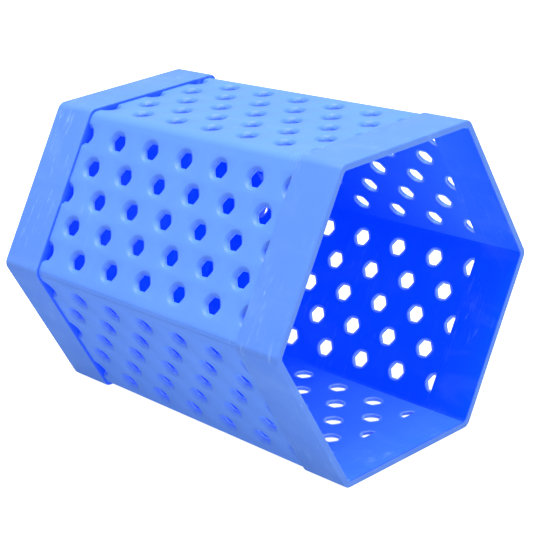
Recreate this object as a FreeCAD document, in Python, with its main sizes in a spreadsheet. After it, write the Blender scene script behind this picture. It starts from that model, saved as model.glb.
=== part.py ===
import FreeCAD, Part
import math
import os
import Sketcher
from FreeCAD import Placement, Rotation, Vector

# A six-sided perforated barrel, open at its mouth and closed at its base.
# Six mitred side panels run between two solid collars, and a plain plate closes the base.
# Every piece is drawn on the barrel's own axis: X runs from the outside of the base to the mouth.
# The finished barrel is then laid on one of its flats, so Z is up and the mouth still faces +X.

SIDES = 6
HALF_SECTOR = 180 / SIDES

SIZES = [
    ("mouth_across_flats", "110.0", "outside, over two opposite flats, at the rim"),
    ("barrel_length", "132.7", "outside of the base to the rim"),
    ("collar_draft", "1.61", "degrees that the collars' flats open towards the mouth"),
    ("panel_draft", "1.95", "degrees that the side panels open towards the mouth"),
    ("mouth_collar_width", "18.4", "along the barrel, with its lip"),
    ("mouth_lip", "1.1", "how far the mouth collar laps over the ends of the side panels"),
    ("base_collar_width", "16.8", "along the barrel"),
    ("mouth_step", "0.5", "how far the mouth collar stands proud of the side panels"),
    ("panel_wall", "2.0", "side panel, measured across the barrel"),
    ("inner_corner_radius", "1.9", "inside corners, the whole length of the barrel"),
    ("collar_corner_radius", "3.2", "outside corners of both collars"),
    ("base_plate_thickness", "2.0", "end plate"),
    ("plate_ledge", "1.3", "width of the ledge that the end plate seats on"),
    ("plate_clearance", "0.1", "gap round the end plate in its rebate"),
    ("hole_across_corners", "6.2", "six-sided hole, corner to corner"),
    ("hole_pitches", "6", "hole pitches along a side panel"),
    ("row_pitch", "10.6", "from one row of holes to the next, across a panel"),
    ("dish_diameter", "8.0", "dish round each hole, on the outside"),
    ("dish_depth", "1.2", "depth of the dish"),
    ("dish_slope", "30", "degrees between the dish's side and the hole's axis"),
    ("edge_round", "0.5", "rounding of the rim and of the base collar's edges"),
    ("step_round", "0.3", "rounding of the mouth collar's edge over the panels"),
]

BASE_END = "0"
PLATE_TOP = "sizes.base_plate_thickness"
PANEL_START = "sizes.base_collar_width"
LIP_START = "(sizes.barrel_length - sizes.mouth_collar_width)"
PANEL_END = f"({LIP_START} + sizes.mouth_lip)"
RIM = "sizes.barrel_length"

doc = FreeCAD.newDocument("barrel")
sheet = doc.addObject("Spreadsheet::Sheet", "sizes")
for row, (alias, text, note) in enumerate(SIZES, 1):
    sheet.set(f"A{row}", alias)
    sheet.set(f"B{row}", text)
    sheet.setAlias(f"B{row}", alias)
    sheet.set(f"C{row}", note)
doc.recompute()


def number(expression):
    """The present value of an expression in the sheet's sizes."""
    return float(sheet.evalExpression(expression))


# Half the size across flats of each surface, at a station along the barrel.


def collar_apothem(station):
    return f"(sizes.mouth_across_flats / 2 - (sizes.barrel_length - {station}) * tan(sizes.collar_draft))"


def panel_apothem(station):
    at_lip = f"({collar_apothem(LIP_START)} - sizes.mouth_step)"
    return f"({at_lip} - ({LIP_START} - {station}) * tan(sizes.panel_draft))"


def inner_apothem(station):
    return f"({panel_apothem(station)} - sizes.panel_wall)"


PANEL_CORNER = "(sizes.inner_corner_radius + sizes.panel_wall)"
PLATE_APOTHEM = f"({inner_apothem(BASE_END)} + sizes.plate_ledge)"
REBATE_APOTHEM = f"({PLATE_APOTHEM} + sizes.plate_clearance)"
REBATE_CORNER = "(sizes.inner_corner_radius + sizes.plate_clearance)"


def origin_feature(body, role):
    """A plane or an axis of a body's own origin."""
    return next(item for item in body.Origin.OriginFeatures if item.Role == role)


def new_sketch(body, name, plane):
    sketch = body.newObject("Sketcher::SketchObject", name)
    sketch.AttachmentSupport = [(origin_feature(body, plane), "")]
    sketch.MapMode = "FlatFace"
    return sketch


def constrain(sketch, *constraint):
    return sketch.addConstraint(Sketcher.Constraint(*constraint))


def drive(sketch, name, expression, *constraint):
    """A dimension of a sketch that follows the sheet."""
    index = constrain(sketch, *constraint, number(expression))
    sketch.renameConstraint(index, name)
    sketch.setExpression(f"Constraints.{name}", expression)


def finish_sketch(sketch):
    doc.recompute()
    if sketch.solve() != 0 or not sketch.FullyConstrained:
        raise RuntimeError(f"{sketch.Label} is not fully constrained")


def hexagon(sketch, name, radius, centre=None):
    """A regular hexagon with a corner on the sketch's horizontal direction."""
    middle = Vector(number(centre[0]), number(centre[1]), 0) if centre else Vector()
    turn = 2 * math.pi / SIDES
    corners = []
    for step in range(SIDES + 1):
        corners.append(middle + Vector(math.cos(step * turn), math.sin(step * turn), 0) * number(radius))
    circle = sketch.addGeometry(Part.Circle(middle, Vector(0, 0, 1), number(radius)), True)
    sides = []
    for start, end in zip(corners, corners[1:]):
        sides.append(sketch.addGeometry(Part.LineSegment(start, end)))
    for side, following in zip(sides, sides[1:] + sides[:1]):
        constrain(sketch, "Coincident", side, 2, following, 1)
        constrain(sketch, "PointOnObject", side, 1, circle)
    for side in sides[1:]:
        constrain(sketch, "Equal", sides[0], side)
    constrain(sketch, "Horizontal", circle, 3, sides[0], 1)
    drive(sketch, f"{name}_corner_radius", radius, "Radius", circle)
    if centre:
        drive(sketch, f"{name}_x", centre[0], "DistanceX", -1, 1, circle, 3)
        drive(sketch, f"{name}_y", centre[1], "DistanceY", -1, 1, circle, 3)
    else:
        constrain(sketch, "Coincident", circle, 3, -1, 1)


def corner_radius(apothem):
    return f"({apothem} / cos({HALF_SECTOR}))"


def distance_from_axis(shape):
    middle = shape.CenterOfMass
    return math.hypot(middle.y, middle.z)


def element_names(kind, shapes, wanted):
    return [f"{kind}{index}" for index, shape in enumerate(shapes, 1) if wanted(shape)]


def runs_along(edge):
    return abs(edge.tangentAt(edge.FirstParameter).x) > 0.9


def lies_at(shape, x):
    return all(abs(vertex.X - x) < 1e-4 for vertex in shape.Vertexes)


def edges_at(feature, station):
    """Names of all the edges that lie across the barrel at a station."""
    x = number(station)
    return element_names("Edge", feature.Shape.Edges, lambda edge: lies_at(edge, x))


def outer_edges_at(feature, station):
    """Names of the edges round the outside of the end face at a station."""
    x = number(station)
    ends = [face for face in feature.Shape.Faces if lies_at(face, x)]
    outline = [edge for end in ends for edge in end.OuterWire.Edges]
    return element_names(
        "Edge", feature.Shape.Edges, lambda edge: any(edge.isSame(other) for other in outline))


def fillet(body, name, names, radius):
    before = body.Tip
    rounding = body.newObject("PartDesign::Fillet", name)
    rounding.Base = (before, names)
    rounding.setExpression("Radius", radius)
    body.Tip = rounding
    doc.recompute()


def long_corners(shape, apothem):
    """Names of the long edges where six flats of this apothem, halfway along, meet."""
    reach = number(corner_radius(apothem))
    return element_names(
        "Edge", shape.Edges, lambda edge: runs_along(edge) and abs(distance_from_axis(edge) - reach) < 0.01)


def require_less(name, before, after):
    if not after < before:
        raise RuntimeError(f"{name} takes nothing away")


def pocket(body, name, sketch, depth, taper="0", towards_mouth=True, both_ways=False):
    """Cuts a sketch's outline into the body, and makes sure that it takes something away."""
    before = body.Shape.Volume
    cut = body.newObject("PartDesign::Pocket", name)
    cut.Profile = (sketch, [""])
    cut.Reversed = towards_mouth
    cut.Midplane = both_ways
    if depth:
        cut.Type = "Length"
        cut.setExpression("Length", depth)
        cut.setExpression("TaperAngle", taper)
    else:
        cut.Type = "ThroughAll"
    body.Tip = cut
    doc.recompute()
    require_less(name, before, body.Shape.Volume)
    return cut


def slope_sides(body, name, span, apothem_at):
    """Cuts a wedge off each side of a straight block, so that it opens towards the mouth."""
    start, end = span
    near, far = apothem_at(start), apothem_at(end)
    above = f"({far} + sizes.mouth_step)"
    sketch = new_sketch(body, f"{name}_wedge_outline", "XZ_Plane")
    outline = [(start, near), (end, far), (end, above), (start, above)]
    corners = [Vector(number(x), number(height), 0) for x, height in outline]
    lines = []
    for first, second in zip(corners, corners[1:] + corners[:1]):
        lines.append(sketch.addGeometry(Part.LineSegment(first, second)))
    for line, following in zip(lines, lines[1:] + lines[:1]):
        constrain(sketch, "Coincident", line, 2, following, 1)
    slope, end_side, top, start_side = lines
    constrain(sketch, "Vertical", end_side)
    constrain(sketch, "Horizontal", top)
    constrain(sketch, "Vertical", start_side)
    if start == BASE_END:
        constrain(sketch, "PointOnObject", slope, 1, -2)
    else:
        drive(sketch, "start", start, "DistanceX", -1, 1, slope, 1)
    drive(sketch, "end", end, "DistanceX", -1, 1, slope, 2)
    drive(sketch, "near", near, "DistanceY", -1, 1, slope, 1)
    drive(sketch, "far", far, "DistanceY", -1, 1, slope, 2)
    drive(sketch, "above", above, "DistanceY", -1, 1, top, 1)
    finish_sketch(sketch)
    wedge = pocket(body, f"{name}_wedge", sketch, None, both_ways=True)
    before = body.Shape.Volume
    sides = body.newObject("PartDesign::PolarPattern", f"{name}_sides")
    sides.Originals = [wedge]
    sides.Axis = (origin_feature(body, "X_Axis"), [""])
    sides.Angle = 360
    sides.Occurrences = SIDES
    body.Tip = sides
    doc.recompute()
    require_less(sides.Name, before, body.Shape.Volume)


def six_sided_ring(body, name, span, outer, inner):
    """A six-sided ring between two stations, opening towards the mouth, its long corners rounded.

    outer and inner each give the apothem at a station and the corner radius; inner also has its draft.
    """
    start, end = span
    middle = f"(({start} + {end}) / 2)"
    outer_at, outer_radius = outer
    inner_at, inner_draft, inner_radius = inner
    block_sketch = new_sketch(body, f"{name}_outline", "YZ_Plane")
    block_sketch.setExpression("AttachmentOffset.Base.z", start)
    hexagon(block_sketch, "outer", corner_radius(outer_at(end)))
    finish_sketch(block_sketch)
    block = body.newObject("PartDesign::Pad", f"{name}_block")
    block.Profile = (block_sketch, [""])
    block.setExpression("Length", f"{end} - {start}")
    body.Tip = block
    doc.recompute()
    slope_sides(body, name, span, outer_at)
    corners = long_corners(body.Shape, outer_at(middle))
    fillet(body, f"{name}_outer_corners", corners, outer_radius)
    cavity_sketch = new_sketch(body, f"{name}_cavity_outline", "YZ_Plane")
    cavity_sketch.setExpression("AttachmentOffset.Base.z", start)
    hexagon(cavity_sketch, "inner", corner_radius(inner_at(start)))
    finish_sketch(cavity_sketch)
    cavity = pocket(body, f"{name}_cavity", cavity_sketch, f"{end} - {start}", inner_draft)
    fillet(body, f"{name}_inner_corners", long_corners(cavity.Shape, inner_at(middle)), inner_radius)


def outer_face_sketch(body, name):
    """A sketch on a side panel's outer face, with its horizontal axis up the panel's draft."""
    sketch = new_sketch(body, name, "XY_Plane")
    sketch.AttachmentOffset = Placement(Vector(), Rotation(Vector(0, 1, 0), -1))
    sketch.setExpression("AttachmentOffset.Base.z", panel_apothem(BASE_END))
    sketch.setExpression("AttachmentOffset.Rotation.Angle", "-sizes.panel_draft")
    return sketch


def hole_field(body, name, first_x, first_u, columns, rows):
    """A grid of dished holes: columns along the panel, every second row across it."""
    hole_sketch = outer_face_sketch(body, f"{name}_hole_sketch")
    hexagon(hole_sketch, "hole", "sizes.hole_across_corners / 2", (first_x, first_u))
    finish_sketch(hole_sketch)
    dish_sketch = outer_face_sketch(body, f"{name}_dish_sketch")
    middle = Vector(number(first_x), number(first_u), 0)
    circle = dish_sketch.addGeometry(Part.Circle(middle, Vector(0, 0, 1), number("sizes.dish_diameter / 2")))
    drive(dish_sketch, "radius", "sizes.dish_diameter / 2", "Radius", circle)
    drive(dish_sketch, "centre_x", first_x, "DistanceX", -1, 1, circle, 3)
    drive(dish_sketch, "centre_y", first_u, "DistanceY", -1, 1, circle, 3)
    finish_sketch(dish_sketch)
    cuts = [
        pocket(body, f"{name}_hole", hole_sketch, None, towards_mouth=False),
        pocket(body, f"{name}_dish", dish_sketch, "sizes.dish_depth", "-sizes.dish_slope", False),
    ]
    before = body.Shape.Volume
    grid = body.newObject("PartDesign::LinearPattern", f"{name}_grid")
    grid.Originals = cuts
    grid.Direction = (hole_sketch, ["H_Axis"])
    grid.Direction2 = (hole_sketch, ["V_Axis"])
    grid.Reversed2 = True
    grid.setExpression("Occurrences", columns)
    grid.setExpression("Length", f"{HOLE_PITCH} * ({columns} - 1)")
    grid.Occurrences2 = rows
    grid.setExpression("Length2", f"2 * sizes.row_pitch * {rows - 1}")
    body.Tip = grid
    doc.recompute()
    require_less(grid.Name, before, body.Shape.Volume)


SLANT = "cos(sizes.panel_draft)"
HOLE_PITCH = f"(({PANEL_END} - {PANEL_START}) / sizes.hole_pitches / {SLANT})"
FIELD_START = f"({PANEL_START} / {SLANT})"

OUTER_COLLAR = (collar_apothem, "sizes.collar_corner_radius")
OUTER_PANEL = (panel_apothem, PANEL_CORNER)
INSIDE = (inner_apothem, "sizes.panel_draft", "sizes.inner_corner_radius")


def mitre_cut(body, name):
    """Takes away all of a ring but its top side, along the two mitres that meet on the axis."""
    sketch = new_sketch(body, f"{name}_outline", "YZ_Plane")
    sketch.setExpression("AttachmentOffset.Base.z", PANEL_START)
    reach = "sizes.mouth_across_flats"
    size = number(reach)
    lean = math.tan(math.radians(HALF_SECTOR))
    top_right, bottom_right = Vector(size * lean, size, 0), Vector(size, -size, 0)
    top_left, bottom_left = Vector(-size * lean, size, 0), Vector(-size, -size, 0)
    outline = [Vector(), top_right, bottom_right, bottom_left, top_left, Vector()]
    lines = []
    for first, second in zip(outline, outline[1:]):
        lines.append(sketch.addGeometry(Part.LineSegment(first, second)))
    for line, following in zip(lines, lines[1:] + lines[:1]):
        constrain(sketch, "Coincident", line, 2, following, 1)
    constrain(sketch, "Coincident", lines[0], 1, -1, 1)
    constrain(sketch, "Angle", lines[0], math.radians(90 - HALF_SECTOR))
    constrain(sketch, "Symmetric", lines[1], 1, lines[4], 1, -2)
    constrain(sketch, "Symmetric", lines[2], 1, lines[3], 1, -2)
    drive(sketch, "top", reach, "DistanceY", -1, 1, lines[0], 2)
    drive(sketch, "width", reach, "DistanceX", -1, 1, lines[2], 1)
    drive(sketch, "bottom", reach, "DistanceY", lines[2], 1, -1, 1)
    finish_sketch(sketch)
    pocket(body, name, sketch, None)


def side_panel(label):
    """One perforated side, mitred along both long edges, square to the axis at its ends."""
    body = doc.addObject("PartDesign::Body", label)
    six_sided_ring(body, f"{label}_blank", (PANEL_START, PANEL_END), OUTER_PANEL, INSIDE)
    mitre_cut(body, f"{label}_mitres")
    columns = "(sizes.hole_pitches + 1)"
    hole_field(body, f"{label}_main", FIELD_START, "2 * sizes.row_pitch", columns, 3)
    staggered_start = f"({FIELD_START} + {HOLE_PITCH} / 2)"
    hole_field(body, f"{label}_between", staggered_start, "sizes.row_pitch", "sizes.hole_pitches", 2)
    return body


def mouth_collar():
    """The solid band round the open end, flush with the panels inside and lapping over them outside."""
    body = doc.addObject("PartDesign::Body", "mouth_collar")
    six_sided_ring(body, "mouth_band", (LIP_START, RIM), OUTER_COLLAR, INSIDE)
    sketch = new_sketch(body, "panel_seat_outline", "YZ_Plane")
    sketch.setExpression("AttachmentOffset.Base.z", LIP_START)
    hexagon(sketch, "seat", corner_radius(panel_apothem(LIP_START)))
    finish_sketch(sketch)
    seat = pocket(body, "panel_seat", sketch, "sizes.mouth_lip", "sizes.panel_draft")
    middle = f"(({LIP_START} + {PANEL_END}) / 2)"
    fillet(body, "panel_seat_corners", long_corners(seat.Shape, panel_apothem(middle)), PANEL_CORNER)
    fillet(body, "rim_rounding", edges_at(body.Tip, RIM), "sizes.edge_round")
    fillet(body, "lip_rounding", outer_edges_at(body.Tip, LIP_START), "sizes.step_round")
    return body


def base_collar():
    """The solid band round the closed end, with a rebate for the end plate."""
    body = doc.addObject("PartDesign::Body", "base_collar")
    six_sided_ring(body, "base_band", (BASE_END, PANEL_START), OUTER_COLLAR, INSIDE)
    sketch = new_sketch(body, "rebate_outline", "YZ_Plane")
    hexagon(sketch, "rebate", corner_radius(REBATE_APOTHEM))
    finish_sketch(sketch)
    rebate = pocket(body, "plate_rebate", sketch, PLATE_TOP)
    fillet(body, "rebate_corners", long_corners(rebate.Shape, REBATE_APOTHEM), REBATE_CORNER)
    fillet(body, "base_rounding", outer_edges_at(body.Tip, BASE_END), "sizes.edge_round")
    fillet(body, "base_step_rounding", outer_edges_at(body.Tip, PANEL_START), "sizes.edge_round")
    return body


def base_plate():
    """The plain plate that closes the base."""
    body = doc.addObject("PartDesign::Body", "base_plate")
    sketch = new_sketch(body, "plate_outline", "YZ_Plane")
    hexagon(sketch, "plate", corner_radius(PLATE_APOTHEM))
    finish_sketch(sketch)
    plate = body.newObject("PartDesign::Pad", "plate")
    plate.Profile = (sketch, [""])
    plate.setExpression("Length", PLATE_TOP)
    body.Tip = plate
    doc.recompute()
    corners = element_names("Edge", plate.Shape.Edges, runs_along)
    fillet(body, "plate_corners", corners, "sizes.inner_corner_radius")
    return body


def lay_on_flat(body, turn):
    """Turns a piece about the barrel's axis, then lays the barrel on the flats of its collars."""
    draft = math.radians(number("sizes.collar_draft"))
    base, mouth = number(collar_apothem(BASE_END)), number(collar_apothem(RIM))
    lowest_x = -base * math.sin(draft)
    highest_x = number(RIM) * math.cos(draft) + mouth * math.sin(draft)
    lift = Vector(-(lowest_x + highest_x) / 2, 0, base * math.cos(draft))
    tilt = Rotation(Vector(0, 1, 0), -math.degrees(draft))
    body.Placement = Placement(lift, tilt * Rotation(Vector(1, 0, 0), turn))


pieces = []
for side in range(SIDES):
    panel = side_panel(f"side_panel_{side + 1}")
    lay_on_flat(panel, side * 360 / SIDES)
    pieces.append(panel)
for piece in (mouth_collar(), base_collar(), base_plate()):
    lay_on_flat(piece, 0)
    pieces.append(piece)
doc.recompute()

for item in doc.Objects:
    if "Invalid" in item.State or "Error" in item.State:
        raise RuntimeError(f"{item.Label} did not build")
for piece in pieces:
    if piece.Shape.isNull() or not piece.Shape.isValid() or len(piece.Shape.Solids) != 1:
        raise RuntimeError(f"{piece.Label} is not one valid solid")

os.makedirs("parts", exist_ok=True)
for piece in pieces:
    piece.Shape.exportStep(f"parts/{piece.Label}.step")
    print(piece.Label, round(piece.Shape.Volume, 1))
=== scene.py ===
"""A six-sided tumbling barrel of blue plastic: perforated sides between two solid collars, one end open."""

import math

import bmesh
import bpy
from mathutils import Matrix, Vector


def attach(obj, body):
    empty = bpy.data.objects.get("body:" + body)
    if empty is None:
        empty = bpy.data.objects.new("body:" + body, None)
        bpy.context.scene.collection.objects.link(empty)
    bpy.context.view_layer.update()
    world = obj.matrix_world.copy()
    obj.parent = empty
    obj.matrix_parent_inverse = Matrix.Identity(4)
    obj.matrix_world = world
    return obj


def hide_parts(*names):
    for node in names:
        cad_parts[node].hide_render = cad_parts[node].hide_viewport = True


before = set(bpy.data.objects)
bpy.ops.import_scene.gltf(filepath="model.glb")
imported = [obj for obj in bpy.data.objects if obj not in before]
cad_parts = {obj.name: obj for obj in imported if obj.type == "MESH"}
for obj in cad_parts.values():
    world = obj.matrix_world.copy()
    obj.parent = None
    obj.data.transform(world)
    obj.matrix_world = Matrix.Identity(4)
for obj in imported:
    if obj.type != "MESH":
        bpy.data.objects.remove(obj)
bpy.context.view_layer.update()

MM = 0.001
BODY = "root"
SIDES = 6
HALF_SECTOR = math.pi / SIDES

# The barrel, measured along its own axis from the outside of the base to the rim
RIM = 132.7 * MM
PANEL_START = 16.8 * MM
LIP_START = RIM - 18.4 * MM
PANEL_END = LIP_START + 1.1 * MM
MOUTH_APOTHEM = 55 * MM
COLLAR_SLOPE = math.radians(1.61)
PANEL_SLOPE = math.radians(1.95)
MOUTH_STEP = 0.5 * MM
WALL = 2.0 * MM
INNER_CORNER = 1.9 * MM
PANEL_CORNER = INNER_CORNER + WALL
COLLAR_CORNER = 3.38 * MM
PLATE_THICKNESS = 2 * MM
PLATE_LEDGE = 1.3 * MM
PLATE_GAP = 0.1 * MM
EDGE_ROUND = 0.5 * MM
STEP_ROUND = 0.3 * MM

# The holes
HOLE_PITCHES = 6
ROWS = 5
ROW_PITCH = 10.6 * MM
HOLE_PITCH = (PANEL_END - PANEL_START) / HOLE_PITCHES
THROAT_RADIUS = 3.1 * MM
CORNER_SHARPNESS = 0.8
DISH_RADIUS = 4.05 * MM
DISH_DEPTH = 1.2 * MM
HALO_RADIUS = 3.85 * MM
LIP = 0.12 * MM

# Steps in half a side of a hole's cell, along the barrel and across it; the points round a cell follow
STEPS_ALONG = 4
STEPS_ACROSS = 2
AROUND = 4 * (STEPS_ALONG + STEPS_ACROSS)

# The plain margins beside the holes, and the seam along the corner that panels 2 and 3 share
MARGIN_STEPS = 8
SEAM_SIDE = {2: -1, 3: 1}
SEAM_FROM_MITRE = 0.55 * MM
SEAM_HALF_WIDTH = 0.14 * MM
SEAM_DEPTH = 0.1 * MM

# How meshes are finished: points closer than this are one, and edges bent further than this stay sharp
MERGE_DISTANCE = 0.005 * MM
PANEL_SHARP = math.radians(50)
COLLAR_SHARP = math.radians(60)
PLATE_SHARP = math.radians(30)

# Plastic colours, linear
OUTSIDE_BLUE = (0.092, 0.232, 0.75, 1)
COLLAR_BLUE = (0.085, 0.21, 0.68, 1)
# The inside's blue is painted shade: the inside of the barrel is the same plastic, painted deeper because
# it lies in shade; the cloudiness also darkens towards this blue
SHADED_INSIDE_BLUE = (0.0, 0.065, 0.9, 1)
# The halo blue is painted light round the holes on the inside; the cloudiness and the rubbed marks also
# lighten towards it
HALO_BLUE = (0.4, 0.65, 1.0, 1)
# The glow blue is painted light: the inside glows by emission as if lit through its thin wall
GLOW_BLUE = (0.0, 0.02, 0.35, 1)
# The grazing blue is a painted sheen on the inside, seen at a slant
GRAZING_BLUE = (0.13, 0.4, 1.0, 1)
BLACK = (0, 0, 0, 1)
WHITE = (1, 1, 1, 1)
FLOOR_GREY = (0.35, 0.35, 0.35, 1)

# How the plastic takes the light. Inside, a painted sheen makes it paler where it is seen at a slant, and
# more so towards the mouth, where painted light comes in: the slant is a Layer Weight's facing, and the way
# to the mouth is along X
GRAZING_FROM, GRAZING_FULL = 0.4, 0.68
PALING_FROM, PALING_FULL = -10 * MM, 50 * MM
HALO_STRENGTH = 0.8
ROUGHNESS = 0.42
RUBBED_ROUGHER = 0.2
SHEEN = 0.2


def collar_apothem(x):
    """From the axis to the flats of the collars' outside, at a station along the barrel."""
    return MOUTH_APOTHEM - (RIM - x) * math.tan(COLLAR_SLOPE)


def panel_apothem(x):
    """From the axis to the panels' outer faces."""
    return collar_apothem(LIP_START) - MOUTH_STEP - (LIP_START - x) * math.tan(PANEL_SLOPE)


def inner_apothem(x):
    """From the axis to the inside of the barrel."""
    return panel_apothem(x) - WALL


def resting_place():
    """Lays the barrel on the flats of its collars, its box centred over the origin."""
    lowest = -collar_apothem(0) * math.sin(COLLAR_SLOPE)
    highest = RIM * math.cos(COLLAR_SLOPE) + collar_apothem(RIM) * math.sin(COLLAR_SLOPE)
    lift = Vector((-(lowest + highest) / 2, 0, collar_apothem(0) * math.cos(COLLAR_SLOPE)))
    return Matrix.Translation(lift) @ Matrix.Rotation(-COLLAR_SLOPE, 4, "Y")


LAID = resting_place()


class Bench:
    """Lays nodes out in a tree and joins their sockets."""

    def __init__(self, tree):
        self.tree = tree

    def feed(self, socket, value):
        """Links another node's output to a socket, or sets the socket to a plain value."""
        if isinstance(value, bpy.types.NodeSocket):
            self.tree.links.new(value, socket)
        else:
            socket.default_value = value

    def node(self, kind, sockets=None, **settings):
        """A new node, with its settings made and its sockets fed by name or number."""
        made = self.tree.nodes.new(kind)
        for name, value in settings.items():
            setattr(made, name, value)
        for name, value in (sockets or {}).items():
            self.feed(made.inputs[name], value)
        return made

    def maths(self, operation, *values):
        made = self.node("ShaderNodeMath", operation=operation)
        for socket, value in zip(made.inputs, values):
            self.feed(socket, value)
        return made.outputs[0]

    def clamped(self, value, low, high):
        made = self.node("ShaderNodeClamp", {"Value": value, "Min": low, "Max": high})
        return made.outputs[0]

    def point(self, x, y, z):
        return self.node("ShaderNodeCombineXYZ", {"X": x, "Y": y, "Z": z}).outputs[0]

    def blend(self, share, first, second):
        """Mixes two colours, which are the Mix node's sockets 6 and 7, with output 2."""
        made = self.node("ShaderNodeMix", data_type="RGBA", clamp_factor=True)
        self.feed(made.inputs[0], share)
        self.feed(made.inputs[6], first)
        self.feed(made.inputs[7], second)
        return made.outputs[2]


# ---------------------------------------------------------------- the perforated sheet


def cell_rings(bench, sizes, step):
    """The rings of one hole's cell, from its border on the inner face to its border on the outer one."""
    angle = bench.maths("MULTIPLY", step, 2 * math.pi / AROUND)
    cosine, sine = bench.maths("COSINE", angle), bench.maths("SINE", angle)

    def circle(radius, depth):
        x = bench.maths("MULTIPLY", cosine, radius)
        y = bench.maths("MULTIPLY", sine, radius)
        return bench.point(x, y, bench.maths("MULTIPLY", depth, -1.0))

    # a hexagon with softened corners, one of them pointing along the barrel
    sector = bench.maths("PINGPONG", angle, HALF_SECTOR)
    from_flat = bench.maths("SUBTRACT", HALF_SECTOR, sector)
    swell = bench.maths("SUBTRACT", bench.maths("DIVIDE", 1.0, bench.maths("COSINE", from_flat)), 1.0)
    shape = bench.maths("MULTIPLY_ADD", swell, sizes["Corner Sharpness"], 1.0)
    flat = bench.maths("MULTIPLY", sizes["Throat Radius"], math.cos(HALF_SECTOR))
    throat = bench.maths("MULTIPLY", shape, flat)

    # the cell's rectangular border, spaced so that staggered rows share their points
    quarter, half = AROUND / 4, AROUND / 2
    along = bench.maths("SUBTRACT", quarter, bench.maths("PINGPONG", step, half))
    turned = bench.maths("PINGPONG", bench.maths("SUBTRACT", step, quarter), half)
    across = bench.maths("SUBTRACT", quarter, turned)
    x = bench.clamped(bench.maths("DIVIDE", along, float(STEPS_ALONG)), -1.0, 1.0)
    y = bench.clamped(bench.maths("DIVIDE", across, float(STEPS_ACROSS)), -1.0, 1.0)
    border_x = bench.maths("MULTIPLY", x, bench.maths("DIVIDE", sizes["Hole Pitch"], 2.0))
    border_y = bench.maths("MULTIPLY", y, bench.maths("DIVIDE", sizes["Row Pitch"], 2.0))

    wall, depth, dish = sizes["Wall"], sizes["Dish Depth"], sizes["Dish Radius"]
    under = bench.maths("MULTIPLY", wall, -1.0)
    lip = bench.maths("ADD", throat, sizes["Lip"])
    middle = bench.maths("MULTIPLY", bench.maths("ADD", throat, dish), 0.5)
    brim, outside_brim = bench.maths("MULTIPLY", dish, 0.97), bench.maths("MULTIPLY", dish, 1.05)
    return [
        bench.point(border_x, border_y, under),
        circle(sizes["Halo Radius"], wall),
        circle(lip, wall),
        circle(throat, bench.maths("SUBTRACT", wall, sizes["Lip"])),
        circle(throat, depth),
        circle(middle, bench.maths("MULTIPLY", depth, 0.55)),
        circle(brim, bench.maths("MULTIPLY", depth, 0.12)),
        circle(outside_brim, 0.0),
        bench.point(border_x, border_y, 0.0),
    ]


# How far each ring takes the inside's painted shade, which reaches into the dish as painted shade in the
# recess, and the painted halo of light at the hole's inner edge
INSIDE_BY_RING = (1.0, 1.0, 1.0, 0.8, 0.22, 0.12, 0.04, 0.0, 0.0)
HOLE_EDGE_BY_RING = (0.0, 0.0, 1.0, 0.8, 0.0, 0.0, 0.0, 0.0, 0.0)


def by_ring(bench, ring, values, data_type):
    """The value that belongs to a point's ring."""
    switch = bench.node("GeometryNodeIndexSwitch", data_type=data_type)
    while len(switch.index_switch_items) < len(values):
        switch.index_switch_items.new()
    bench.feed(switch.inputs[0], ring)
    for socket, value in zip(list(switch.inputs)[1:], values):
        bench.feed(socket, value)
    return switch.outputs[0]


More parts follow.
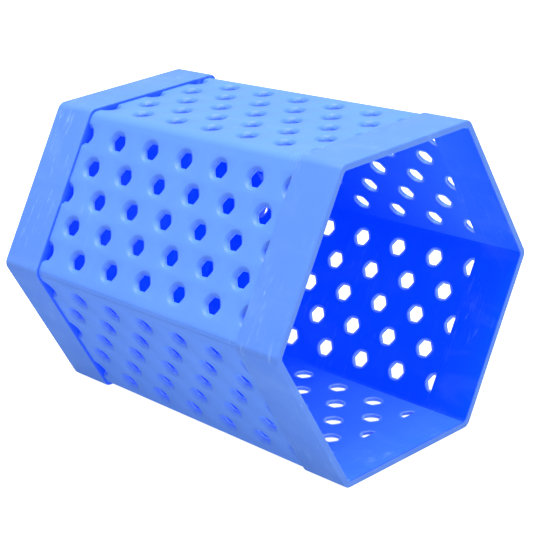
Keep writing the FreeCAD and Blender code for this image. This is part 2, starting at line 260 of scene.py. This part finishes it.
def perforated_sheet_tree():
    """A flat sheet with staggered rows of dished holes, the end holes of the odd rows cut in half."""
    tree = bpy.data.node_groups.new("perforated_sheet", "GeometryNodeTree")
    sizes_wanted = {
        "Hole Pitch": HOLE_PITCH,
        "Row Pitch": ROW_PITCH,
        "Wall": WALL,
        "Throat Radius": THROAT_RADIUS,
        "Corner Sharpness": CORNER_SHARPNESS,
        "Dish Radius": DISH_RADIUS,
        "Dish Depth": DISH_DEPTH,
        "Halo Radius": HALO_RADIUS,
        "Lip": LIP,
    }
    for name, value in sizes_wanted.items():
        socket = tree.interface.new_socket(name, in_out="INPUT", socket_type="NodeSocketFloat")
        socket.default_value = value
    pitches = tree.interface.new_socket("Hole Pitches", in_out="INPUT", socket_type="NodeSocketInt")
    pitches.default_value = HOLE_PITCHES
    tree.interface.new_socket("Plastic", in_out="INPUT", socket_type="NodeSocketMaterial")
    tree.interface.new_socket("Sheet", in_out="OUTPUT", socket_type="NodeSocketGeometry")

    bench = Bench(tree)
    sizes = bench.node("NodeGroupInput").outputs
    index = bench.node("GeometryNodeInputIndex").outputs[0]
    per_ring = AROUND + 1
    ring = bench.maths("FLOOR", bench.maths("DIVIDE", bench.maths("ADD", index, 0.5), per_ring))
    step = bench.maths("SUBTRACT", index, bench.maths("MULTIPLY", ring, per_ring))
    rings = cell_rings(bench, sizes, step)

    blank = bench.node("GeometryNodeMeshGrid", {"Vertices X": len(rings), "Vertices Y": per_ring})
    cell = bench.node(
        "GeometryNodeSetPosition",
        {"Geometry": blank.outputs["Mesh"], "Position": by_ring(bench, ring, rings, "VECTOR")},
    ).outputs[0]
    # the inside's painted shade and the painted halo of light at the holes are stored on the points as two
    # attributes
    for name, values in (("inside", INSIDE_BY_RING), ("hole_edge", HOLE_EDGE_BY_RING)):
        stored = bench.node("GeometryNodeStoreNamedAttribute", data_type="FLOAT", domain="POINT")
        bench.feed(stored.inputs["Geometry"], cell)
        bench.feed(stored.inputs["Name"], name)
        bench.feed(stored.inputs["Value"], by_ring(bench, ring, values, "FLOAT"))
        cell = stored.outputs[0]

    length = bench.maths("MULTIPLY", sizes["Hole Pitch"], sizes["Hole Pitches"])
    short_length = bench.maths("SUBTRACT", length, sizes["Hole Pitch"])
    places = bench.node("GeometryNodeJoinGeometry")
    odd_rows = (ROWS + 1) // 2
    for extent, more, rows in ((length, 1, odd_rows), (short_length, 0, ROWS - odd_rows)):
        grid = bench.node(
            "GeometryNodeMeshGrid",
            {
                "Size X": extent,
                "Size Y": bench.maths("MULTIPLY", sizes["Row Pitch"], 2.0 * (rows - 1)),
                "Vertices X": bench.maths("ADD", sizes["Hole Pitches"], float(more)),
                "Vertices Y": rows,
            },
        )
        tree.links.new(grid.outputs["Mesh"], places.inputs[0])
    centred = bench.point(bench.maths("DIVIDE", length, 2.0), 0.0, 0.0)
    moved = bench.node("GeometryNodeSetPosition", {"Geometry": places.outputs[0], "Offset": centred})
    holes = bench.node("GeometryNodeInstanceOnPoints", {"Points": moved.outputs[0], "Instance": cell})
    whole = bench.node("GeometryNodeRealizeInstances", {"Geometry": holes.outputs[0]}).outputs[0]

    position = bench.node("GeometryNodeInputPosition").outputs[0]
    x = bench.node("ShaderNodeSeparateXYZ", {"Vector": position}).outputs[0]
    slack = 0.01 * MM
    before = bench.maths("LESS_THAN", x, -slack)
    after = bench.maths("GREATER_THAN", x, bench.maths("ADD", length, slack))
    overhang = bench.maths("MAXIMUM", before, after)
    trimmed = bench.node(
        "GeometryNodeDeleteGeometry", {"Geometry": whole, "Selection": overhang}, domain="POINT")
    joined = bench.node("GeometryNodeMergeByDistance", {"Geometry": trimmed.outputs[0], "Distance": slack})
    finished = bench.node(
        "GeometryNodeSetMaterial", {"Geometry": joined.outputs[0], "Material": sizes["Plastic"]})
    bench.node("NodeGroupOutput", {"Sheet": finished.outputs[0]})
    return tree


def perforated_sheet(plastic):
    """The flat sheet as a plain mesh, its outer face on the XY plane."""
    carrier = bpy.data.objects.new("flat_sheet", bpy.data.meshes.new("flat_sheet"))
    bpy.context.scene.collection.objects.link(carrier)
    modifier = carrier.modifiers.new("holes", "NODES")
    tree = perforated_sheet_tree()
    modifier.node_group = tree
    sockets = {item.name: item.identifier for item in tree.interface.items_tree if item.in_out == "INPUT"}
    modifier[sockets["Plastic"]] = plastic
    evaluated = carrier.evaluated_get(bpy.context.evaluated_depsgraph_get())
    sheet = bpy.data.meshes.new_from_object(evaluated)
    carrier.modifiers.remove(modifier)
    bpy.data.objects.remove(carrier)
    return sheet


# ---------------------------------------------------------------- the side panels


def flat_half_width(x):
    """Half the width of a panel's outer face between its rounded corners."""
    return (panel_apothem(x) - PANEL_CORNER) * math.tan(HALF_SECTOR)


def mitre_reach(x):
    """Distance across the outer face from the panel's middle, round its corner, to the mitre."""
    return flat_half_width(x) + PANEL_CORNER * HALF_SECTOR


def onto_side(along, across, depth):
    """Where a point of the flat sheet lies on the top side."""
    x = PANEL_START + along
    flat = flat_half_width(x)
    turn = max(abs(across) - flat, 0) / PANEL_CORNER
    reach = PANEL_CORNER - depth
    y = min(abs(across), flat) + reach * math.sin(turn)
    z = panel_apothem(x) - PANEL_CORNER + reach * math.cos(turn)
    return Vector((x, math.copysign(y, across), z))


def margin_profile(x, has_seam):
    """Across and depth of the plain margin beside the holes: out to the mitre, down it and back."""
    first = ROWS * ROW_PITCH / 2
    mitre = mitre_reach(PANEL_START + x)
    plain = mitre - SEAM_FROM_MITRE - 2 * SEAM_HALF_WIDTH
    steps = MARGIN_STEPS
    outer = [(first + (plain - first) * step / steps, 0) for step in range(steps + 1)]
    seam_depth = SEAM_DEPTH if has_seam else 0
    groove = mitre - SEAM_FROM_MITRE
    outer += [(groove - SEAM_HALF_WIDTH, 0), (groove, seam_depth), (groove + SEAM_HALF_WIDTH, 0)]
    inner = [(mitre - (mitre - first) * step / steps, WALL) for step in range(steps + 1)]
    return outer + [(mitre, 0)] + inner


def add_margin(mesh, side, has_seam, inside):
    """Adds one long margin of a panel to the sheet."""
    per_pitch = 2 * STEPS_ALONG
    columns = HOLE_PITCHES * per_pitch
    rows = []
    for column in range(columns + 1):
        along = column * HOLE_PITCH / per_pitch
        row = []
        for across, depth in margin_profile(along, has_seam):
            vertex = mesh.verts.new((along, side * across, -depth))
            # the margin's inner face takes the inside's painted shade
            vertex[inside] = 1.0 if depth == WALL else 0.0
            row.append(vertex)
        rows.append(row)
    for near, far in zip(rows, rows[1:]):
        for index in range(len(near) - 1):
            mesh.faces.new((near[index], far[index], far[index + 1], near[index + 1]))


def finish_piece(name, mesh, matrix, nodes, plastic, sharp):
    """Makes a mesh in the barrel's own frame a finished piece that stands for its CAD nodes."""
    bmesh.ops.recalc_face_normals(mesh, faces=mesh.faces)
    if mesh.calc_volume(signed=True) < 0:
        bmesh.ops.reverse_faces(mesh, faces=mesh.faces)
    for face in mesh.faces:
        face.smooth = True
        face.material_index = 0
    data = bpy.data.meshes.new(name)
    mesh.to_mesh(data)
    mesh.free()
    data.transform(LAID @ matrix)
    data.set_sharp_from_angle(angle=sharp)
    data.materials.clear()
    data.materials.append(plastic)
    piece = bpy.data.objects.new(name, data)
    bpy.context.scene.collection.objects.link(piece)
    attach(piece, BODY)
    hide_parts(*nodes)


def side_panel(number, sheet, plastic):
    """One perforated side: the sheet with its two margins, bent round the long edges."""
    mesh = bmesh.new()
    mesh.from_mesh(sheet)
    inside = mesh.verts.layers.float["inside"]
    for side in (-1, 1):
        add_margin(mesh, side, SEAM_SIDE.get(number) == side, inside)
    bmesh.ops.remove_doubles(mesh, verts=mesh.verts, dist=MERGE_DISTANCE)
    for vertex in mesh.verts:
        vertex.co = onto_side(vertex.co.x, vertex.co.y, -vertex.co.z)
    open_edges = [edge for edge in mesh.edges if edge.is_boundary]
    bmesh.ops.holes_fill(mesh, edges=open_edges, sides=0)
    turn = Matrix.Rotation((number - 1) * 2 * math.pi / SIDES, 4, "X")
    finish_piece(f"panel_{number}", mesh, turn, [f"side_panel_{number}"], plastic, PANEL_SHARP)


# ---------------------------------------------------------------- the collars and the base


def section(mesh, inside, x, apothem, radius, side):
    """A ring of points: a six-sided section with rounded corners."""
    segments = 8
    reach = (apothem - radius) / math.cos(HALF_SECTOR)
    ring = []
    for corner in range(SIDES):
        middle = HALF_SECTOR * (2 * corner + 1)
        for step in range(segments + 1):
            angle = middle + HALF_SECTOR * (2 * step / segments - 1)
            y = reach * math.sin(middle) + radius * math.sin(angle)
            z = reach * math.cos(middle) + radius * math.cos(angle)
            vertex = mesh.verts.new((x, y, z))
            vertex[inside] = side
            ring.append(vertex)
    return ring


def loft(profile, closed):
    """A six-sided solid through its sections; each gives station, apothem, corner radius and side, the
    share of the inside's painted shade.
    """
    mesh = bmesh.new()
    inside = mesh.verts.layers.float.new("inside")
    mesh.verts.layers.float.new("hole_edge")
    rings = [section(mesh, inside, *row) for row in profile]
    pairs = list(zip(rings, rings[1:]))
    if closed:
        pairs.append((rings[-1], rings[0]))
    else:
        mesh.faces.new(rings[0])
        mesh.faces.new(rings[-1])
    for near, far in pairs:
        for index, vertex in enumerate(near):
            after = (index + 1) % len(near)
            mesh.faces.new((vertex, near[after], far[after], far[index]))
    return mesh


def rounded_edge(x, apothem, radius, start, end):
    """Stations and apothems round an edge, by angles in degrees from the mouth towards the outside."""
    points = []
    steps = 4
    for step in range(steps + 1):
        angle = math.radians(start + (end - start) * step / steps)
        points.append((x + radius * math.cos(angle), apothem + radius * math.sin(angle)))
    return points


def with_corners(points, sides):
    """Adds the corner radius and the side, the share of the inside's painted shade, to a collar's profile
    points.
    """
    rows = []
    for (x, apothem), side in zip(points, sides):
        outer, inner = collar_apothem(x), inner_apothem(x)
        share = min(max((outer - apothem) / (outer - inner), 0), 1)
        rows.append((x, apothem, COLLAR_CORNER + share * (INNER_CORNER - COLLAR_CORNER), side))
    return rows


def mouth_collar(plastic):
    """The band round the open mouth, its lip lying over the ends of the panels."""
    step_x, rim_x = LIP_START + STEP_ROUND, RIM - EDGE_ROUND
    step = rounded_edge(step_x, collar_apothem(LIP_START) - STEP_ROUND, STEP_ROUND, 180, 90)
    outer_rim = rounded_edge(rim_x, collar_apothem(rim_x) - EDGE_ROUND, EDGE_ROUND, 90, 0)
    inner_rim = rounded_edge(rim_x, inner_apothem(RIM) + EDGE_ROUND, EDGE_ROUND, 0, -90)
    seat = [(x, panel_apothem(x)) for x in (PANEL_END, LIP_START)]
    points = [(PANEL_END, inner_apothem(PANEL_END))] + seat + step + outer_rim + inner_rim
    # the rim's inner face takes the inside's painted shade, fading in round the rim's inner edge
    sides = [1.0] + [0.0] * (len(seat) + len(step) + len(outer_rim)) + [0.0, 0.1, 0.4, 0.8, 1.0]
    mesh = loft(with_corners(points, sides), closed=True)
    finish_piece("collar_at_mouth", mesh, Matrix(), ["mouth_collar"], plastic, COLLAR_SHARP)


def base_collar(plastic):
    """The band round the closed end, with the rebate that holds the plate."""
    outer_base = rounded_edge(EDGE_ROUND, collar_apothem(0) - EDGE_ROUND, EDGE_ROUND, 180, 90)
    step_x = PANEL_START - EDGE_ROUND
    step = rounded_edge(step_x, collar_apothem(step_x) - EDGE_ROUND, EDGE_ROUND, 90, 0)
    rebate = inner_apothem(0) + PLATE_LEDGE + PLATE_GAP
    points = [(0, rebate)] + outer_base + step + [
        (PANEL_START, inner_apothem(PANEL_START)),
        (PLATE_THICKNESS, inner_apothem(PLATE_THICKNESS)),
        (PLATE_THICKNESS, rebate),
    ]
    # the step's rounded face takes part of the inside's painted shade, as painted shade at the step; the
    # inner faces take it in full
    sides = [0.0] * (1 + len(outer_base)) + [0.0, 0.0, 0.1, 0.4, 0.6] + [1.0, 1.0, 1.0]
    mesh = loft(with_corners(points, sides), closed=True)
    finish_piece("collar_at_base", mesh, Matrix(), ["base_collar"], plastic, COLLAR_SHARP)


def base_plate(plastic):
    """The plain plate that closes the end, its outer edge a little broken."""
    soft = 0.3 * MM
    edge = inner_apothem(0) + PLATE_LEDGE
    profile = [
        (0, edge - soft, INNER_CORNER, 0.0),
        (soft, edge, INNER_CORNER, 0.0),
        # the plate's inner face takes the inside's painted shade
        (PLATE_THICKNESS, edge, INNER_CORNER, 1.0),
    ]
    mesh = loft(profile, closed=False)
    finish_piece("plate_in_base", mesh, Matrix(), ["base_plate"], plastic, PLATE_SHARP)


# ---------------------------------------------------------------- the plastic


def shader_group(name, inputs, outputs):
    """A shader group to fill: its tree, a bench in it and the sockets of what it is given.

    An input is a name, a kind and a value, and an output is a name and a kind.
    """
    tree = bpy.data.node_groups.new(name, "ShaderNodeTree")
    for label, kind, value in inputs:
        socket = tree.interface.new_socket(label, in_out="INPUT", socket_type=f"NodeSocket{kind}")
        if value is not None:
            socket.default_value = value
    for label, kind in outputs:
        tree.interface.new_socket(label, in_out="OUTPUT", socket_type=f"NodeSocket{kind}")
    bench = Bench(tree)
    return tree, bench, bench.node("NodeGroupInput").outputs


def cloudy_flow_group():
    """Soft cloudiness where the melt cooled unevenly, as a tone either side of nought."""
    tree, bench, given = shader_group(
        "cloudy_flow",
        [("Position", "Vector", None), ("Size", "Float", 0.012), ("Strength", "Float", 0.1)],
        [("Tone", "Float")],
    )
    scale = bench.maths("DIVIDE", 1.0, given["Size"])
    drawn_out = (0.45, 1.0, 1.0)
    stretch = bench.node(
        "ShaderNodeVectorMath", {0: given["Position"], 1: drawn_out}, operation="MULTIPLY")
    noise = bench.node(
        "ShaderNodeTexNoise",
        {"Vector": stretch.outputs[0], "Scale": scale, "Detail": 4.0, "Roughness": 0.55, "Distortion": 0.6},
    )
    tone = bench.maths("SUBTRACT", noise.outputs["Fac"], 0.5)
    bench.node("NodeGroupOutput", {"Tone": bench.maths("MULTIPLY", tone, given["Strength"])})
    return tree


def satin_grain_group():
    """The fine satin of the mould's surface, as a height in metres."""
    tree, bench, given = shader_group(
        "satin_grain",
        [("Position", "Vector", None), ("Grain Size", "Float", 0.0004), ("Depth", "Float", 0.00001)],
        [("Height", "Float")],
    )
    scale = bench.maths("DIVIDE", 1.0, given["Grain Size"])
    noise = bench.node("ShaderNodeTexNoise", {"Vector": given["Position"], "Scale": scale, "Detail": 2.0})
    bench.node("NodeGroupOutput", {"Height": bench.maths("MULTIPLY", noise.outputs["Fac"], given["Depth"])})
    return tree


def handling_marks_group():
    """Faint rubbed streaks from handling, as a mask."""
    tree, bench, given = shader_group(
        "handling_marks",
        [("Position", "Vector", None), ("Length", "Float", 0.006), ("Amount", "Float", 0.3)],
        [("Mask", "Float")],
    )
    scale = bench.maths("DIVIDE", 1.0, given["Length"])
    round_the_barrel = (4.5, 1.0, 0.7)
    stretch = bench.node(
        "ShaderNodeVectorMath", {0: given["Position"], 1: round_the_barrel}, operation="MULTIPLY")
    streaks = bench.node(
        "ShaderNodeTexNoise",
        {"Vector": stretch.outputs[0], "Scale": scale, "Detail": 5.0, "Roughness": 0.7, "Distortion": 0.3},
    )
    patches_a_metre = 45.0
    patches = bench.node(
        "ShaderNodeTexNoise", {"Vector": given["Position"], "Scale": patches_a_metre, "Detail": 1.0})
    fine = bench.node(
        "ShaderNodeMapRange", {"Value": streaks.outputs["Fac"], "From Min": 0.56, "From Max": 0.72})
    where = bench.node(
        "ShaderNodeMapRange", {"Value": patches.outputs["Fac"], "From Min": 0.42, "From Max": 0.66})
    mask = bench.maths("MULTIPLY", fine.outputs[0], where.outputs[0])
    bench.node("NodeGroupOutput", {"Mask": bench.maths("MULTIPLY", mask, given["Amount"])})
    return tree


def blue_plastic(name, groups, outside, cloud_size, cloud_strength, marks):
    """Satin blue plastic, paler outside; inside, painted shade makes it deep, it glows by emission as
    painted light, a painted sheen pales it at a slant, and a painted halo of light rings the holes.
    """
    material = bpy.data.materials.new(name)
    material.use_nodes = True
    tree = material.node_tree
    tree.nodes.clear()
    bench = Bench(tree)
    position = bench.node("ShaderNodeTexCoord").outputs["Object"]
    # inside: where the inside's painted shade and painted glow go
    inside = bench.node("ShaderNodeAttribute", attribute_name="inside").outputs["Fac"]
    # hole_edge: where the painted halo of light goes at the holes
    hole_edge = bench.node("ShaderNodeAttribute", attribute_name="hole_edge").outputs["Fac"]

    def effect(kind, output, **values):
        placed = bench.node("ShaderNodeGroup", node_tree=groups[kind])
        bench.feed(placed.inputs["Position"], position)
        for label, value in values.items():
            bench.feed(placed.inputs[label.replace("_", " ")], value)
        return placed.outputs[output]

    tone = effect("cloudy_flow", "Tone", Size=cloud_size, Strength=cloud_strength)
    height = effect("satin_grain", "Height", Grain_Size=0.35 * MM, Depth=0.004 * MM)
    rubbed = effect("handling_marks", "Mask", Length=6 * MM, Amount=marks)

    # painted sheen: the inside is painted paler at a slant, more so towards the mouth where painted light
    # comes in
    facing = bench.node("ShaderNodeLayerWeight", {"Blend": 0.5}).outputs["Facing"]
    slant = bench.node(
        "ShaderNodeMapRange", {"Value": facing, "From Min": GRAZING_FROM, "From Max": GRAZING_FULL})
    station = bench.node("ShaderNodeSeparateXYZ", {"Vector": position}).outputs["X"]
    towards_mouth = bench.node(
        "ShaderNodeMapRange", {"Value": station, "From Min": PALING_FROM, "From Max": PALING_FULL})
    painted_sheen = bench.maths("MULTIPLY", slant.outputs[0], towards_mouth.outputs[0])
    painted_inside = bench.blend(painted_sheen, SHADED_INSIDE_BLUE, GRAZING_BLUE)
    plain = bench.blend(inside, outside, painted_inside)
    lighten = bench.maths("ADD", rubbed, bench.maths("MAXIMUM", tone, 0.0))
    lighter = bench.blend(lighten, plain, HALO_BLUE)
    deepen = bench.maths("MULTIPLY", bench.maths("MINIMUM", tone, 0.0), -1.0)
    darker = bench.blend(deepen, lighter, SHADED_INSIDE_BLUE)
    # painted light: a pale halo round each hole's inner edge
    halo = bench.maths("MULTIPLY", bench.maths("MULTIPLY", hole_edge, inside), HALO_STRENGTH)
    colour = bench.blend(halo, darker, HALO_BLUE)
    roughness = bench.clamped(bench.maths("MULTIPLY_ADD", rubbed, RUBBED_ROUGHER, ROUGHNESS), 0.2, 0.8)
    bump = bench.node("ShaderNodeBump", {"Height": height, "Strength": 0.5, "Distance": 1.0})
    # painted light: the inside glows by emission
    glow = bench.blend(inside, BLACK, GLOW_BLUE)
    plastic = bench.node(
        "ShaderNodeBsdfPrincipled",
        {
            "Base Color": colour,
            "Roughness": roughness,
            "Normal": bump.outputs[0],
            "Emission Color": glow,
            "Emission Strength": 1.0,
            "Specular IOR Level": SHEEN,
        },
    )
    bench.node("ShaderNodeOutputMaterial", {"Surface": plastic.outputs[0]})
    return material


# ---------------------------------------------------------------- floor, light and camera


def floor():
    """A plain white floor that lights itself, so shadows stay faint, and that shows dark in reflections."""
    mesh = bmesh.new()
    reach = 4
    bmesh.ops.create_grid(mesh, x_segments=1, y_segments=1, size=reach)
    data = bpy.data.meshes.new("floor")
    mesh.to_mesh(data)
    mesh.free()
    paper = bpy.data.materials.new("floor_paper")
    paper.use_nodes = True
    shader = paper.node_tree.nodes["Principled BSDF"]
    shader.inputs["Roughness"].default_value = 0.9
    shader.inputs["Specular IOR Level"].default_value = 0.0
    shader.inputs["Emission Color"].default_value = WHITE
    bench = Bench(paper.node_tree)
    reflected = bench.node("ShaderNodeLightPath").outputs["Is Glossy Ray"]
    bench.feed(shader.inputs["Emission Strength"], bench.maths("SUBTRACT", 1.0, reflected))
    bench.feed(shader.inputs["Base Color"], bench.blend(reflected, FLOOR_GREY, BLACK))
    data.materials.append(paper)
    made = bpy.data.objects.new("floor", data)
    bpy.context.scene.collection.objects.link(made)


def soft_light(name, place, aim, width, power):
    """A round area light; the power is in watts."""
    lamp = bpy.data.lights.new(name, "AREA")
    lamp.shape = "DISK"
    lamp.size = width
    lamp.energy = power
    made = bpy.data.objects.new(name, lamp)
    direction = Vector(aim) - Vector(place)
    made.matrix_world = Matrix.Translation(place) @ direction.to_track_quat("-Z", "Y").to_matrix().to_4x4()
    bpy.context.scene.collection.objects.link(made)


def surroundings(strength):
    """Even white light from all round."""
    world = bpy.data.worlds.new("studio")
    bpy.context.scene.world = world
    world.use_nodes = True
    background = world.node_tree.nodes["Background"]
    background.inputs["Color"].default_value = WHITE
    background.inputs["Strength"].default_value = strength


def camera():
    """Looks into the mouth from above, to one side of the barrel's axis."""
    azimuth, elevation, roll = math.radians(43.22), math.radians(21.387), math.radians(-0.325)
    distance = 0.714
    aim = Vector((0.00167, 0.00122, 0.05057))
    back = Vector((math.sin(azimuth), -math.cos(azimuth), math.tan(elevation))).normalized()
    lens = bpy.data.cameras.new("camera")
    lens.lens = 139.36
    lens.clip_start = 0.05
    made = bpy.data.objects.new("camera", lens)
    turned = (-back).to_track_quat("-Z", "Y").to_matrix().to_4x4() @ Matrix.Rotation(roll, 4, "Z")
    made.matrix_world = Matrix.Translation(aim + back * distance) @ turned
    bpy.context.scene.collection.objects.link(made)
    bpy.context.scene.camera = made


groups = {
    "cloudy_flow": cloudy_flow_group(),
    "satin_grain": satin_grain_group(),
    "handling_marks": handling_marks_group(),
}
panel_plastic = blue_plastic(
    "panel_plastic", groups, OUTSIDE_BLUE, cloud_size=20 * MM, cloud_strength=0.12, marks=0.1)
collar_plastic = blue_plastic(
    "collar_plastic", groups, COLLAR_BLUE, cloud_size=12 * MM, cloud_strength=0.25, marks=0.35)
plate_plastic = blue_plastic(
    "plate_plastic", groups, OUTSIDE_BLUE, cloud_size=30 * MM, cloud_strength=0.15, marks=0.15)

sheet = perforated_sheet(panel_plastic)
for number in range(1, SIDES + 1):
    side_panel(number, sheet, panel_plastic)
mouth_collar(collar_plastic)
base_collar(collar_plastic)
base_plate(plate_plastic)

floor()
surroundings(strength=0.5)
soft_light("overhead", place=(-0.1, -0.05, 1.4), aim=(0, 0, 0.05), width=0.9, power=30)
soft_light("mouth_fill", place=(0.9, -0.1, 0.55), aim=(0.03, 0, 0.03), width=0.5, power=3)
camera()
bpy.context.scene.view_settings.view_transform = "Standard"
